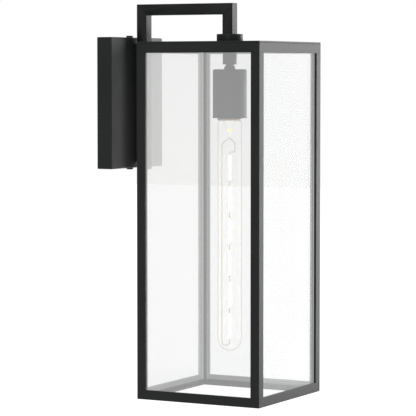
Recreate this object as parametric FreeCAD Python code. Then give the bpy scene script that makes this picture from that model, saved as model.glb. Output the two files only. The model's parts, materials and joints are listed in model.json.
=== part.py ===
"""Outdoor wall lantern: a square glazed cage hung from a square-bar arm on a wall canopy.

Millimetres, +Z up, +X to the right of someone who faces the lantern, -Y away from the wall.
The origin is the centre of the canopy's back, on the wall plane Y = 0.
"""
import FreeCAD, Part
import os
from math import acos, pi, tan
from FreeCAD import Vector

os.makedirs("parts", exist_ok=True)

# Overall sizes
BODY_SIZE = 158.0          # the lantern's square plan, outside
BODY_HEIGHT = 412.0        # roof top to the frame's lower edge
REACH = 143.5              # wall to the lantern's centre line
ARM_RISE = 45.0            # roof top to the arm's top
CANOPY_WIDTH = 120.0
CANOPY_HEIGHT = 154.0
CANOPY_DEPTH = 18.5
CANOPY_ABOVE_ROOF = 6.0    # canopy top over the roof top

# Frame, panes and beads
ANGLE_LEG = 11.0           # leg of the frame's angle bar
ANGLE_WALL = 3.0           # thickness of the frame's angle bar
SIDE_LEDGE = 16.0          # inward leg of the two side rails at the bottom
ROOF_THICKNESS = 2.0
GLASS_THICKNESS = 3.0
GLASS_GAP = 0.4            # play at the edges of a pane
BOTTOM_BEAD_RISE = 3.0
CORNER_BEAD = 3.0          # side of the square bead in each corner

# Canopy and wall fixing
CANOPY_WALL = 1.5
CANOPY_EDGE_RADIUS = 1.2
GASKET_THICKNESS = 1.0
GASKET_WIDTH = 7.0
BAR_WIDTH = 19.0           # junction-box crossbar
BAR_THICKNESS = 1.6
BAR_EAR = 13.0             # how far the crossbar's ears stand off the wall
EAR_GAP = 0.3              # between an ear and the canopy's side
BOX_SCREW_SPACING = 88.9
BOX_SCREW_HOLE_RADIUS = 2.2
BAR_CENTRE_HOLE_RADIUS = 5.0
SIDE_SCREW_DEPTH = 9.0     # canopy screw axis, off the wall
GROUND_SCREW_Z = -25.0

# Arm
TUBE = 13.0                # square tube, outside
TUBE_WALL = 1.5
TUBE_EDGE_RADIUS = 0.6
STRIP_WIDTH = 9.0          # stand-off strip between canopy and leg
STRIP_THICKNESS = 3.0
STRIP_MARGIN = 7.0         # canopy edge to strip end
LEG_OVERHANG = 2.0         # leg end under the canopy's lower edge
LEG_PLUG_FLANGE = 1.5
LEG_PLUG_DEPTH = 6.0
ARM_SCREW_Z = (-58.0, 18.0)
WIRE_HOLE_Z = 46.0
NUT_SIZE = 7.0
NUT_THICKNESS = 3.2

# Fasteners
M4_RADIUS = 2.0
CLEARANCE = 0.25           # round a screw in a plain hole
THREAD_GAP = 0.05          # between a thread's plain cylinder and its hole
HEAD_RADIUS = 4.0
HEAD_HEIGHT = 2.4
SLOT_WIDTH = 1.0
SLOT_DEPTH = 1.0

# Stem and socket
COLLAR_RADIUS = 15.25
COLLAR_HEIGHT = 9.2
COLLAR_EDGE_RADIUS = 0.6
STEM_RADIUS = 4.9          # threaded stem, outside
STEM_BORE_RADIUS = 3.6
SLEEVE_RADIUS = 8.15
SLEEVE_LENGTH = 24.0
STEM_SHOWING = 1.4         # bare thread between sleeve and neck nut
NECK_NUT_TOP_RADIUS = 5.5
NECK_NUT_RADIUS = 6.5
NECK_NUT_HEIGHT = 4.2
CUP_RADIUS = 20.0
CUP_WALL = 1.2
CUP_LENGTH = 56.4
CUP_EDGE_RADIUS = 1.0
BRACKET_WIDTH = 12.0
BRACKET_THICKNESS = 1.2
BRACKET_REACH = 12.5
BRACKET_DROP = 12.5
BRACKET_FOOT = 2.4
HEX_NUT_RADIUS = 7.2
HEX_NUT_HEIGHT = 3.6
STEM_PAST_NUT = 0.8
SOCKET_RADIUS = 17.0
SOCKET_RECESS = 1.6        # socket face above the cup's lip
SHELL_WALL = 0.5
SHELL_GAP = 0.1            # screw shell in the socket body
BORE_DEPTH = 25.5
CONTACT_WIDTH = 6.0
CONTACT_THICKNESS = 0.5
CONTACT_DROP = 1.2
CONTACT_FOOT = 9.0         # fixed end of the contact, off the centre line
CONTACT_BEND = 4.5         # upper bend
CONTACT_TIP = 3.0          # free end, past the centre line
CONTACT_FLAT = 2.0         # lower bend
TERMINAL_OFFSET = 10.5
TERMINAL_RADIUS = 1.5
TERMINAL_LENGTH = 7.0

# Lamp
LAMP_RADIUS = 14.0
LAMP_GLASS_WALL = 1.0
LAMP_TUBE_LENGTH = 268.8   # cap rim to tip
LAMP_CAP_RADIUS = 13.05
CAP_CLEARANCE = 0.3        # cap in the socket's screw shell
CAP_WALL = 0.4
CAP_LENGTH = 20.0
RIM_FLARE = 1.25           # rim past the cap
RIM_HEIGHT = 2.6
RIM_CHAMFER = 0.6
RIM_GAP = 0.3              # rim under the cup's lip
INSULATOR_HEIGHT = 3.0
INSULATOR_SEAT = 1.0       # insulator inside the cap
INSULATOR_LAND = 1.2       # insulator past the tip
TIP_RADIUS = 4.6
TIP_HEIGHT = 1.3
TIP_GAP = 0.3              # tip to the socket's centre contact
CAP_SEAL = 0.45            # cement between the cap and the glass neck
NECK_LENGTH = 9.0
LAMP_SHOULDER = 2.5
STEM_WAIST_RADIUS = 5.5    # stem under its flare
FLARE_GAP = 0.2            # flare inside the glass neck
STEM_PINCH_RADIUS = 3.4
STEM_LENGTH = 20.0
STEM_RISE = 1.0            # flare above the cap rim's lower edge
WIRE_START = 1.2           # each support wire beside the lamp's axis, where it leaves the stem
WIRE_STRAIGHT = 1.5        # straight run of a support wire under the stem
WIRE_SPREAD_DROP = 6.5     # stem end to the wires' full spread
LOOP_DROP = 7.0            # long wire past the last strip's end
SHORT_WIRE_END = 3.0       # short wire's turn above the first strip
SUPPORT_WIRE = 0.7
LONG_WIRE_OFFSET = 9.0
SHORT_WIRE_OFFSET = 6.1
WIRE_PLANE = Vector(0.476, -0.880, 0.0)   # the way the two support wires spread
FILAMENT_RADIUS = 1.1
FILAMENT_LENGTH = 30.2
FILAMENT_PITCH = 37.1
FILAMENT_COUNT = 6
FIRST_FILAMENT = 39.6      # cap rim to the first strip's top

# Wiring
LEAD_RADIUS = 1.1
LEAD_OFFSET = 1.5          # each lead beside the tube's centre line
BUSHING_RADIUS = 4.2
BUSHING_FLANGE = 5.4
BUSHING_BORE = 3.1
WIRE_NUT_RADIUS = 4.5
WIRE_NUT_TOP = 3.0
WIRE_NUT_LENGTH = 17.0
WIRE_NUT_Z = 2.0           # open ends of the wire nuts
WIRE_NUT_X = (16.0, 29.0, 42.0)
SUPPLY_RISE = 20.0         # straight run of a supply lead above its wire nut
GROUND_RISE = 12.0         # rise of the ground lead above its wire nut
GROUND_SIDESTEP = 9.0
LEAD_END_RISE = 0.9        # lead's end over the socket body
LEAD_END_INSET = 2.7       # lead's end inside the terminal screw

# Places that follow from the sizes
HALF = BODY_SIZE / 2
ROOF_Z = CANOPY_HEIGHT / 2 - CANOPY_ABOVE_ROOF
FLOOR_Z = ROOF_Z - BODY_HEIGHT
FRAME_TOP = ROOF_Z - ROOF_THICKNESS
ARM_TOP = ROOF_Z + ARM_RISE
BAR_AXIS_Z = ARM_TOP - TUBE / 2
CANOPY_FRONT = -(GASKET_THICKNESS + CANOPY_DEPTH)
STRIP_FRONT = CANOPY_FRONT - STRIP_THICKNESS
LEG_Y = STRIP_FRONT - TUBE / 2
LEG_END = -CANOPY_HEIGHT / 2 - LEG_OVERHANG
SLEEVE_END = FRAME_TOP - SLEEVE_LENGTH
NECK_NUT_TOP = SLEEVE_END - STEM_SHOWING
CUP_TOP = NECK_NUT_TOP - NECK_NUT_HEIGHT
CUP_END = CUP_TOP - CUP_LENGTH
BRACKET_TOP = CUP_TOP - CUP_WALL
HEX_NUT_TOP = BRACKET_TOP - BRACKET_THICKNESS
STEM_END = HEX_NUT_TOP - HEX_NUT_HEIGHT - STEM_PAST_NUT
SOCKET_TOP = BRACKET_TOP - BRACKET_DROP
SOCKET_FACE = CUP_END + SOCKET_RECESS
SHELL_INNER = LAMP_CAP_RADIUS + CAP_CLEARANCE
SHELL_OUTER = SHELL_INNER + SHELL_WALL
SOCKET_BORE = SHELL_OUTER + SHELL_GAP
BORE_TOP = SOCKET_FACE + BORE_DEPTH
RIM_TOP = CUP_END - RIM_GAP
RIM_BOTTOM = RIM_TOP - RIM_HEIGHT
CAP_TOP = RIM_TOP + CAP_LENGTH
LAMP_TIP = RIM_BOTTOM - LAMP_TUBE_LENGTH
FILAMENT_TOP = RIM_BOTTOM - FIRST_FILAMENT
NECK_RADIUS = LAMP_CAP_RADIUS - CAP_WALL - CAP_SEAL
RIM_RADIUS = LAMP_CAP_RADIUS + RIM_FLARE
LEAD_PLANE = (CANOPY_FRONT + CANOPY_WALL - BAR_THICKNESS) / 2


def at_lamp(z, x=0.0, y=0.0):
    """A point beside the lantern's vertical centre line."""
    return Vector(x, y - REACH, z)


def box(low, high):
    """A block between two corners, given in any order."""
    lows = [min(a, b) for a, b in zip(low, high)]
    highs = [max(a, b) for a, b in zip(low, high)]
    sides = [b - a for a, b in zip(lows, highs)]
    return Part.makeBox(sides[0], sides[1], sides[2], Vector(*lows))


def rod(radius, start, end):
    """A round bar from one point to another."""
    way = end - start
    return Part.makeCylinder(radius, way.Length, start, way)


def ring(outer, inner, start, end):
    """A tube from one point to another."""
    return rod(outer, start, end).cut(rod(inner, start, end))


def turned(profile):
    """A solid of revolution about the lantern's centre line, from (radius, z) points."""
    points = [at_lamp(z, x=radius) for radius, z in profile]
    face = Part.Face(Part.makePolygon(points + points[:1]))
    return face.revolve(at_lamp(0.0), Vector(0, 0, 1), 360)


def pan_screw(seat, way, shank, length, head=HEAD_RADIUS, height=HEAD_HEIGHT):
    """A slotted round-head screw: its head sits on seat, its shank runs along way."""
    top = seat - way * height
    head_solid = rod(head, top, seat)
    rim = [edge for edge in head_solid.Edges if edge.Curve.TypeId == "Part::GeomCircle"]
    outer = [edge for edge in rim if (edge.Curve.Center - top).Length < 0.01]
    head_solid = head_solid.makeFillet(height * 0.4, outer)
    across = way.cross(Vector(0, 0, 1))
    if across.Length < 0.5:
        across = Vector(1, 0, 0)
    side = way.cross(across)
    corner = top - across * head - side * (SLOT_WIDTH / 2)
    slot_face = Part.Face(Part.makePolygon([
        corner,
        corner + across * (2 * head),
        corner + across * (2 * head) + side * SLOT_WIDTH,
        corner + side * SLOT_WIDTH,
        corner,
    ]))
    slot = slot_face.extrude(way * SLOT_DEPTH)
    return head_solid.fuse(rod(shank, seat, seat + way * length)).cut(slot).removeSplitter()


def rounded_path(points, radii):
    """Straight runs joined by tangent arcs, one radius for each inner point."""
    edges = []
    start = points[0]
    for index, radius in enumerate(radii):
        corner = points[index + 1]
        into = (corner - points[index]).normalize()
        out = (points[index + 2] - corner).normalize()
        turn = acos(max(-1.0, min(1.0, into.dot(out))))
        setback = radius * tan(turn / 2)
        first = corner - into * setback
        last = corner + out * setback
        inward = (out - into).normalize()
        centre = corner + inward * (radius / abs(inward.dot(out.cross(into.cross(out)).normalize())))
        middle = centre + (corner - centre).normalize() * radius
        if (first - start).Length > 0.001:
            edges.append(Part.LineSegment(start, first).toShape())
        edges.append(Part.Arc(first, middle, last).toShape())
        start = last
    edges.append(Part.LineSegment(start, points[-1]).toShape())
    return Part.Wire(edges)


def wire_along(points, radii, thickness):
    """A round wire of one thickness along a rounded path."""
    path = rounded_path(points, radii)
    way = (points[1] - points[0]).normalize()
    circle = Part.Wire(Part.makeCircle(thickness, points[0], way))
    return path.makePipeShell([circle], True, True)


def export(name, shape):
    """One STEP file per node; a list of solids becomes one group."""
    if isinstance(shape, list):
        shape = Part.makeCompound(shape)
    shape.exportStep(f"parts/{name}.step")


# Lantern frame ------------------------------------------------------------------------------

SIDES = {"left": 180, "front": 270, "right": 0, "rear": 90}


def turned_to(shape, angle):
    """A piece drawn for the +X side of the lantern, turned about its centre line."""
    copy = shape.copy()
    copy.rotate(at_lamp(0.0), Vector(0, 0, 1), angle)
    return copy


def mitre(shape, low, high):
    """Cut both ends of a +X side rail at 45 degrees, meeting its neighbours at the corners."""
    deep = 4 * ANGLE_LEG
    for end in (-1, 1):
        tip = at_lamp(low, x=HALF, y=end * HALF)
        wedge = Part.Face(Part.makePolygon([
            tip,
            tip + Vector(-deep, -end * deep, 0),
            tip + Vector(-deep, end * deep, 0),
            tip + Vector(0, end * deep, 0),
            tip,
        ])).extrude(Vector(0, 0, high - low))
        shape = shape.cut(wedge)
    return shape


def top_rail():
    """Angle bar under the roof's +X edge: a flange down the face and one inward."""
    y_low = -REACH - HALF
    y_high = -REACH + HALF
    face = box((HALF - ANGLE_WALL, y_low, FRAME_TOP - ANGLE_LEG), (HALF, y_high, FRAME_TOP))
    shelf = box((HALF - ANGLE_LEG, y_low, FRAME_TOP - ANGLE_WALL), (HALF, y_high, FRAME_TOP))
    return mitre(face.fuse(shelf).removeSplitter(), FRAME_TOP - ANGLE_LEG, FRAME_TOP)


def bottom_side_rail():
    """Angle bar under the +X pane, full length, with the wide inward ledge."""
    y_low = -REACH - HALF
    y_high = -REACH + HALF
    face = box((HALF - ANGLE_WALL, y_low, FLOOR_Z), (HALF, y_high, FLOOR_Z + ANGLE_LEG))
    shelf = box((HALF - SIDE_LEDGE, y_low, FLOOR_Z), (HALF, y_high, FLOOR_Z + ANGLE_WALL))
    return face.fuse(shelf).removeSplitter()


def bottom_cross_rail():
    """Angle bar under the front or rear pane, its ends coped over the side rails' ledges.

    Drawn for the +X side, so that its length runs along Y, and then turned.
    """
    inner = HALF - ANGLE_WALL
    ledge = HALF - SIDE_LEDGE
    face = box(
        (HALF - ANGLE_WALL, -REACH - inner, FLOOR_Z), (HALF, -REACH + inner, FLOOR_Z + ANGLE_LEG)
    )
    shelf = box(
        (HALF - ANGLE_LEG, -REACH - ledge, FLOOR_Z), (HALF, -REACH + ledge, FLOOR_Z + ANGLE_WALL)
    )
    rail = face.fuse(shelf)
    for end in (-1, 1):
        cope = box(
            (HALF - ANGLE_LEG, -REACH + end * ledge, FLOOR_Z),
            (HALF, -REACH + end * HALF, FLOOR_Z + ANGLE_WALL),
        )
        rail = rail.cut(cope)
    return rail.removeSplitter()


def post():
    """Angle bar at the (+X, +Y) corner, between the bottom and top rails."""
    low = FLOOR_Z + ANGLE_LEG
    high = FRAME_TOP - ANGLE_LEG
    y_out = -REACH + HALF
    along_x = box((HALF - ANGLE_LEG, y_out - ANGLE_WALL, low), (HALF, y_out, high))
    along_y = box((HALF - ANGLE_WALL, y_out - ANGLE_LEG, low), (HALF, y_out, high))
    return along_x.fuse(along_y).removeSplitter()


def pane():
    """Glass behind the +X opening: one edge runs into the corner, the other stops at a pane."""
    outer = HALF - ANGLE_WALL
    inner = outer - GLASS_THICKNESS
    return box(
        (inner, -REACH - inner + GLASS_GAP, FLOOR_Z + ANGLE_WALL),
        (outer, -REACH + outer - GLASS_GAP, FRAME_TOP - ANGLE_WALL - GLASS_GAP),
    )


def corner_bead():
    """Small square bead inside the (+X, +Y) corner, against both panes."""
    outer = HALF - ANGLE_WALL - GLASS_THICKNESS
    inner = outer - CORNER_BEAD
    return box(
        (inner, -REACH + inner, FLOOR_Z + ANGLE_WALL),
        (outer, -REACH + outer, FRAME_TOP - ANGLE_WALL),
    )


def bottom_bead():
    """Low bead that stands on the ledge inside the +X pane."""
    outer = HALF - ANGLE_WALL - GLASS_THICKNESS
    inner = HALF - ANGLE_LEG
    return box(
        (inner, -REACH - inner, FLOOR_Z + ANGLE_WALL),
        (outer, -REACH + inner, FLOOR_Z + ANGLE_WALL + BOTTOM_BEAD_RISE),
    )


def roof():
    """Flat square plate with the stem's hole."""
    plate = box((-HALF, -REACH - HALF, FRAME_TOP), (HALF, -REACH + HALF, ROOF_Z))
    hole = rod(STEM_RADIUS + CLEARANCE, at_lamp(FRAME_TOP), at_lamp(ROOF_Z))
    return plate.cut(hole)


def make_frame():
    corners = {"rear_right": 0, "rear_left": 90, "front_left": 180, "front_right": 270}
    for name, angle in corners.items():
        export(f"{name}_post", turned_to(post(), angle))
    for name, angle in SIDES.items():
        export(f"{name}_top_rail", turned_to(top_rail(), angle))
        rail = bottom_side_rail() if name in ("left", "right") else bottom_cross_rail()
        export(f"{name}_bottom_rail", turned_to(rail, angle))
        export(f"{name}_pane", turned_to(pane(), angle))
    export("corner_beads", [turned_to(corner_bead(), angle) for angle in SIDES.values()])
    export("bottom_beads", [turned_to(bottom_bead(), angle) for angle in SIDES.values()])
    export("roof_plate", roof())


# Wall canopy --------------------------------------------------------------------------------

def canopy():
    """Shallow box, open to the wall, with holes for the arm, the wires and its own screws."""
    half_w = CANOPY_WIDTH / 2
    half_h = CANOPY_HEIGHT / 2
    block = box((-half_w, CANOPY_FRONT, -half_h), (half_w, -GASKET_THICKNESS, half_h))
    rounded = []
    for edge in block.Edges:
        middle = edge.CenterOfMass
        on_back = abs(middle.y + GASKET_THICKNESS) < 0.01
        if not on_back:
            rounded.append(edge)
    block = block.makeFillet(CANOPY_EDGE_RADIUS, rounded)
    hollow = box(
        (-half_w + CANOPY_WALL, CANOPY_FRONT + CANOPY_WALL, -half_h + CANOPY_WALL),
        (half_w - CANOPY_WALL, 0.0, half_h - CANOPY_WALL),
    )
    shell = block.cut(hollow)
    for z in ARM_SCREW_Z:
        shell = shell.cut(rod(M4_RADIUS + CLEARANCE, Vector(0, 0, z), Vector(0, CANOPY_FRONT - 1, z)))
    wire_hole = rod(BUSHING_RADIUS, Vector(0, 0, WIRE_HOLE_Z), Vector(0, CANOPY_FRONT - 1, WIRE_HOLE_Z))
    shell = shell.cut(wire_hole)
    side_holes = rod(
        M4_RADIUS + CLEARANCE,
        Vector(0, -SIDE_SCREW_DEPTH, -half_h - 1),
        Vector(0, -SIDE_SCREW_DEPTH, half_h + 1),
    )
    return shell.cut(side_holes)


def gasket():
    """Foam frame between the canopy's rim and the wall."""
    half_w = CANOPY_WIDTH / 2 - 0.4
    half_h = CANOPY_HEIGHT / 2 - 0.4
    sheet = box((-half_w, -GASKET_THICKNESS, -half_h), (half_w, 0.0, half_h))
    window = box(
        (-half_w + GASKET_WIDTH, -GASKET_THICKNESS, -half_h + GASKET_WIDTH),
        (half_w - GASKET_WIDTH, 0.0, half_h - GASKET_WIDTH),
    )
    return sheet.cut(window)


def crossbar():
    """Steel strap on the junction box: two ears bent forward carry the canopy's screws."""
    half = BAR_WIDTH / 2
    reach_z = CANOPY_HEIGHT / 2 - CANOPY_WALL - EAR_GAP
    window = CANOPY_HEIGHT / 2 - GASKET_WIDTH - 1.0
    strap = box((-half, -BAR_THICKNESS, -window), (half, 0.0, window))
    for end in (-1, 1):
        step = box(
            (-half, -2 * BAR_THICKNESS, end * (window - BAR_THICKNESS)),
            (half, -BAR_THICKNESS, end * reach_z),
        )
        ear = box(
            (-half, -2 * BAR_THICKNESS, end * (reach_z - BAR_THICKNESS)),
            (half, -BAR_EAR, end * reach_z),
        )
        strap = strap.fuse(step).fuse(ear)
    for end in (-1, 1):
        z = end * BOX_SCREW_SPACING / 2
        strap = strap.cut(rod(BOX_SCREW_HOLE_RADIUS, Vector(0, 1, z), Vector(0, -BAR_EAR, z)))
    centre = rod(BAR_CENTRE_HOLE_RADIUS, Vector(0, 1, 0), Vector(0, -BAR_EAR, 0))
    ground = rod(
        M4_RADIUS + THREAD_GAP, Vector(0, 1, GROUND_SCREW_Z), Vector(0, -BAR_EAR, GROUND_SCREW_Z)
    )
    threads = rod(
        M4_RADIUS + THREAD_GAP,
        Vector(0, -SIDE_SCREW_DEPTH, -reach_z - 1),
        Vector(0, -SIDE_SCREW_DEPTH, reach_z + 1),
    )
    return strap.cut(centre).cut(ground).cut(threads).removeSplitter()


def canopy_screws():
    """One screw through the canopy's top side and one through its bottom side."""
    screws = []
    for end in (-1, 1):
        seat = Vector(0, -SIDE_SCREW_DEPTH, end * CANOPY_HEIGHT / 2)
        length = CANOPY_WALL + EAR_GAP + BAR_THICKNESS + 3.0
        screws.append(pan_screw(seat, Vector(0, 0, -end), M4_RADIUS, length))
    return screws


def ground_screw():
    """Screw that clamps the ground lead to the crossbar."""
    seat = Vector(0, -BAR_THICKNESS - 2 * LEAD_RADIUS, GROUND_SCREW_Z)
    return pan_screw(seat, Vector(0, 1, 0), M4_RADIUS, 2 * LEAD_RADIUS + BAR_THICKNESS)


def wire_bushing():
    """Plastic grommet that lines the wires' way through canopy, strip and leg."""
    inside = CANOPY_FRONT + CANOPY_WALL
    start = Vector(0, inside, WIRE_HOLE_Z)
    end = Vector(0, STRIP_FRONT - TUBE_WALL, WIRE_HOLE_Z)
    body = rod(BUSHING_RADIUS - THREAD_GAP, start, end)
    flange = rod(BUSHING_FLANGE, start + Vector(0, 1.2, 0), start)
    bore = rod(BUSHING_BORE, start + Vector(0, 2, 0), end - Vector(0, 1, 0))
    return body.fuse(flange).cut(bore).removeSplitter()


def make_canopy():
    export("canopy", canopy())
    export("canopy_gasket", gasket())
    export("wall_crossbar", crossbar())
    export("canopy_screws", canopy_screws())
    export("ground_screw", ground_screw())
    export("wire_bushing", wire_bushing())


# Arm ----------------------------------------------------------------------------------------

def square_tube(start, end):
    """Hollow square tube between two points that differ along Y or Z only, edges eased."""
    half = TUBE / 2
    bore = half - TUBE_WALL
    along = 1 if abs(end.y - start.y) > 0.01 else 2
    low = [-half, start.y, start.z]
    high = [half, end.y, end.z]
    across = 3 - along
    low[across] -= half
    high[across] += half
    block = box(low, high)
    long_edges = [edge for edge in block.Edges if abs(edge.Length - (end - start).Length) < 0.01]
    block = block.makeFillet(TUBE_EDGE_RADIUS, long_edges)
    low[0], high[0] = -bore, bore
    low[across] += TUBE_WALL
    high[across] -= TUBE_WALL
    return block.cut(box(low, high))


def above_mitre(outer_y, way):
    """The half of an arm corner that belongs to the top bar: above the mitre plane."""
    corner = Vector(-TUBE, outer_y, ARM_TOP)
    points = [
        corner,
        corner + Vector(0, way * TUBE, -TUBE),
        corner + Vector(0, way * 2 * TUBE, -TUBE),
        corner + Vector(0, way * 2 * TUBE, TUBE),
        corner + Vector(0, 0, TUBE),
    ]
    return Part.Face(Part.makePolygon(points + points[:1])).extrude(Vector(2 * TUBE, 0, 0))


def under_mitre(outer_y, way):
    """The half of an arm corner that belongs to an upright: below the mitre plane."""
    corner = Vector(-TUBE, outer_y, ARM_TOP)
    points = [
        corner,
        corner + Vector(0, way * 2 * TUBE, -2 * TUBE),
        corner + Vector(0, -way * TUBE, -2 * TUBE),
        corner + Vector(0, -way * TUBE, 0),
    ]
    return Part.Face(Part.makePolygon(points + points[:1])).extrude(Vector(2 * TUBE, 0, 0))


def arm_leg():
    """Upright tube in front of the canopy, mitred at its top."""
    tube = square_tube(Vector(0, LEG_Y, LEG_END + LEG_PLUG_FLANGE), Vector(0, LEG_Y, ARM_TOP))
    rear = LEG_Y + TUBE / 2
    tube = tube.cut(above_mitre(rear, -1))
    for z in ARM_SCREW_Z:
        tube = tube.cut(rod(M4_RADIUS + CLEARANCE, Vector(0, LEG_Y, z), Vector(0, rear + 1, z)))
    wire_hole = rod(BUSHING_RADIUS, Vector(0, LEG_Y, WIRE_HOLE_Z), Vector(0, rear + 1, WIRE_HOLE_Z))
    return tube.cut(wire_hole)


def arm_bar():
    """Level tube, mitred at both ends."""
    rear = LEG_Y + TUBE / 2
    front = -REACH - TUBE / 2
    tube = square_tube(Vector(0, front, BAR_AXIS_Z), Vector(0, rear, BAR_AXIS_Z))
    return tube.cut(under_mitre(rear, -1)).cut(under_mitre(front, 1))


def arm_drop():
    """Short upright over the lantern, mitred at its top."""
    tube = square_tube(Vector(0, -REACH, ROOF_Z + COLLAR_HEIGHT), Vector(0, -REACH, ARM_TOP))
    return tube.cut(above_mitre(-REACH - TUBE / 2, 1))


def backing_strip():
    """Flat bar that stands the leg off the canopy."""
    half = STRIP_WIDTH / 2
    reach_z = CANOPY_HEIGHT / 2 - STRIP_MARGIN
    strip = box((-half, STRIP_FRONT, -reach_z), (half, CANOPY_FRONT, reach_z))
    for z in ARM_SCREW_Z:
        strip = strip.cut(rod(M4_RADIUS + CLEARANCE, Vector(0, 0, z), Vector(0, STRIP_FRONT - 1, z)))
    wire_hole = rod(BUSHING_RADIUS, Vector(0, 0, WIRE_HOLE_Z), Vector(0, STRIP_FRONT - 1, WIRE_HOLE_Z))
    return strip.cut(wire_hole)


def arm_screws():
    """Screws from inside the canopy into the nuts in the leg."""
    inside = CANOPY_FRONT + CANOPY_WALL
    length = CANOPY_WALL + STRIP_THICKNESS + TUBE_WALL + NUT_THICKNESS + 0.8
    way = Vector(0, -1, 0)
    return [pan_screw(Vector(0, inside, z), way, M4_RADIUS, length) for z in ARM_SCREW_Z]


def arm_nuts():
    """Square nuts against the leg's rear wall, inside the tube."""
    half = NUT_SIZE / 2
    back = STRIP_FRONT - TUBE_WALL
    nuts = []
    for z in ARM_SCREW_Z:
        nut = box((-half, back - NUT_THICKNESS, z - half), (half, back, z + half))
        hole = rod(M4_RADIUS + THREAD_GAP, Vector(0, 0, z), Vector(0, back - TUBE, z))
        nuts.append(nut.cut(hole))
    return nuts


def leg_plug():
    """Cap that closes the leg's lower end."""
    half = TUBE / 2
    bore = half - TUBE_WALL - THREAD_GAP
    flange = box((-half, LEG_Y - half, LEG_END), (half, LEG_Y + half, LEG_END + LEG_PLUG_FLANGE))
    upright = [edge for edge in flange.Edges if abs(edge.Length - LEG_PLUG_FLANGE) < 0.01]
    flange = flange.makeFillet(TUBE_EDGE_RADIUS, upright)
    shank = box(
        (-bore, LEG_Y - bore, LEG_END), (bore, LEG_Y + bore, LEG_END + LEG_PLUG_FLANGE + LEG_PLUG_DEPTH)
    )
    return flange.fuse(shank).removeSplitter()


def make_arm():
    export("arm_leg", arm_leg())
    export("arm_bar", arm_bar())
    export("arm_drop", arm_drop())
    export("arm_backing_strip", backing_strip())
    export("arm_screws", arm_screws())
    export("arm_nuts", arm_nuts())
    export("arm_leg_plug", leg_plug())


# Stem, cup and socket -----------------------------------------------------------------------

def collar():
    """Round boss between the arm's end and the roof, threaded for the stem."""
    boss = rod(COLLAR_RADIUS, at_lamp(ROOF_Z), at_lamp(ROOF_Z + COLLAR_HEIGHT))
    full_turn = 2 * pi * COLLAR_RADIUS
    top_edge = [edge for edge in boss.Edges if edge.CenterOfMass.z > ROOF_Z + COLLAR_HEIGHT / 2
                and abs(edge.Length - full_turn) < 0.1]
    boss = boss.makeFillet(COLLAR_EDGE_RADIUS, top_edge)
    hole = rod(STEM_RADIUS + THREAD_GAP, at_lamp(ROOF_Z), at_lamp(ROOF_Z + COLLAR_HEIGHT))
    return boss.cut(hole)


def stem():
    """Hollow threaded rod that carries the cage and the socket and leads the wires."""
    return ring(STEM_RADIUS, STEM_BORE_RADIUS, at_lamp(STEM_END), at_lamp(ROOF_Z + COLLAR_HEIGHT))


def sleeve():
    """Spacer sleeve on the stem under the roof."""
    return ring(SLEEVE_RADIUS, STEM_RADIUS + CLEARANCE, at_lamp(SLEEVE_END), at_lamp(FRAME_TOP))


def neck_nut():
    """Round nut, bevelled towards the sleeve, that locks the cup on the stem."""
    bore = STEM_RADIUS + THREAD_GAP
    return turned([
        (bore, NECK_NUT_TOP),
        (NECK_NUT_TOP_RADIUS, NECK_NUT_TOP),
        (NECK_NUT_RADIUS, CUP_TOP + NECK_NUT_HEIGHT * 0.45),
        (NECK_NUT_RADIUS, CUP_TOP),
        (bore, CUP_TOP),
    ])


def cup():
    """Drawn metal cup over the socket, closed at the top but for the stem's hole."""
    outer = rod(CUP_RADIUS, at_lamp(CUP_END), at_lamp(CUP_TOP))
    top_edge = [edge for edge in outer.Edges if abs(edge.CenterOfMass.z - CUP_TOP) < 0.01
                and edge.Curve.TypeId == "Part::GeomCircle"]
    outer = outer.makeFillet(CUP_EDGE_RADIUS, top_edge)
    hollow = rod(CUP_RADIUS - CUP_WALL, at_lamp(CUP_END), at_lamp(BRACKET_TOP))
    hole = rod(STEM_RADIUS + CLEARANCE, at_lamp(BRACKET_TOP), at_lamp(CUP_TOP))
    return outer.cut(hollow).cut(hole)


def bracket():
    """Strap under the cup's top: a bridge on the stem, two legs and two feet on the socket."""
    half = BRACKET_WIDTH / 2
    y = BRACKET_REACH
    bridge = box(
        (-half, -REACH - y, HEX_NUT_TOP), (half, -REACH + y, BRACKET_TOP)
    )
    strap = bridge.cut(rod(STEM_RADIUS + CLEARANCE, at_lamp(HEX_NUT_TOP), at_lamp(BRACKET_TOP)))
    for end in (-1, 1):
        leg = box(
            (-half, -REACH + end * (y - BRACKET_THICKNESS), SOCKET_TOP),
            (half, -REACH + end * y, BRACKET_TOP),
        )
        foot = box(
            (-half, -REACH + end * y, SOCKET_TOP),
            (half, -REACH + end * (y + BRACKET_FOOT), SOCKET_TOP + BRACKET_THICKNESS),
        )
        strap = strap.fuse(leg).fuse(foot)
    return strap.removeSplitter()


def hex_nut():
    """Lock nut on the stem, under the bracket."""
    low = HEX_NUT_TOP - HEX_NUT_HEIGHT
    points = [
        at_lamp(low) + FreeCAD.Rotation(Vector(0, 0, 1), 60 * step).multVec(Vector(HEX_NUT_RADIUS, 0, 0))
        for step in range(6)
    ]
    prism = Part.Face(Part.makePolygon(points + points[:1])).extrude(Vector(0, 0, HEX_NUT_HEIGHT))
    return prism.cut(rod(STEM_RADIUS + THREAD_GAP, at_lamp(low), at_lamp(HEX_NUT_TOP)))


def socket_body():
    """Glazed insulator that holds the screw shell; its top carries the terminals."""
    body = rod(SOCKET_RADIUS, at_lamp(SOCKET_FACE), at_lamp(SOCKET_TOP))
    body = body.cut(rod(SOCKET_BORE, at_lamp(SOCKET_FACE), at_lamp(BORE_TOP)))
    for end in (-1, 1):
        x = end * TERMINAL_OFFSET
        hole = rod(
            TERMINAL_RADIUS + THREAD_GAP,
            at_lamp(SOCKET_TOP - TERMINAL_LENGTH - 0.5, x=x),
            at_lamp(SOCKET_TOP, x=x),
        )
        body = body.cut(hole)
    return body


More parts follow.
